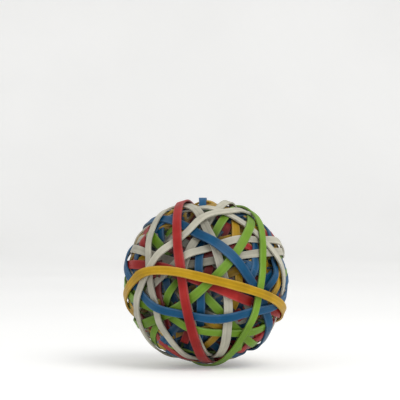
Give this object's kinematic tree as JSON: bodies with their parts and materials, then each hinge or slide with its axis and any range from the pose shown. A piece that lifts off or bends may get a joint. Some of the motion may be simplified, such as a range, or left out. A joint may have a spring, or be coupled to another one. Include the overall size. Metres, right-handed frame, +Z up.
{
  "type": "rubber band ball",
  "caption": "Ball of flat rubber bands in red, yellow, green, blue and off-white, wound over one another in all directions round a solid core.",
  "frame": {"origin": "centre of the bounding box in X and Y, at the ball's lowest point, where it rests on a flat surface", "axes": "+Z up as pictured; the side that the picture shows faces -Y, with +X to its right; -Z points at the surface"},
  "size_m": [0.0588, 0.06, 0.06],
  "materials": {
    "red_rubber": "satin",
    "yellow_rubber": "satin",
    "green_rubber": "satin",
    "blue_rubber": "satin",
    "white_rubber": "satin",
    "core_rubber": "matt"
  },
  "bodies": {
    "root": {"yellow_girdle_band": "yellow_rubber", "green_right_band": "green_rubber", "red_upright_band": "red_rubber", "white_top_band": "white_rubber", "blue_low_band": "blue_rubber", "white_left_band": "white_rubber", "blue_slant_band": "blue_rubber", "green_cross_band": "green_rubber", "red_short_band": "red_rubber", "white_middle_band": "white_rubber", "white_crest_band": "white_rubber", "green_low_band": "green_rubber", "white_upper_band": "white_rubber", "white_short_band": "white_rubber", "blue_upright_band": "blue_rubber", "white_lower_band": "white_rubber", "green_short_band": "green_rubber", "green_left_band": "green_rubber", "yellow_top_band": "yellow_rubber", "blue_left_band": "blue_rubber", "blue_right_band": "blue_rubber", "yellow_left_band": "yellow_rubber", "red_inner_band": "red_rubber", "yellow_right_band": "yellow_rubber", "buried_red_band_1": "red_rubber", "buried_white_band_2": "white_rubber", "buried_green_band_3": "green_rubber", "buried_blue_band_4": "blue_rubber", "buried_yellow_band_5": "yellow_rubber", "wound_core": "core_rubber"}
  },
  "joints": []
}
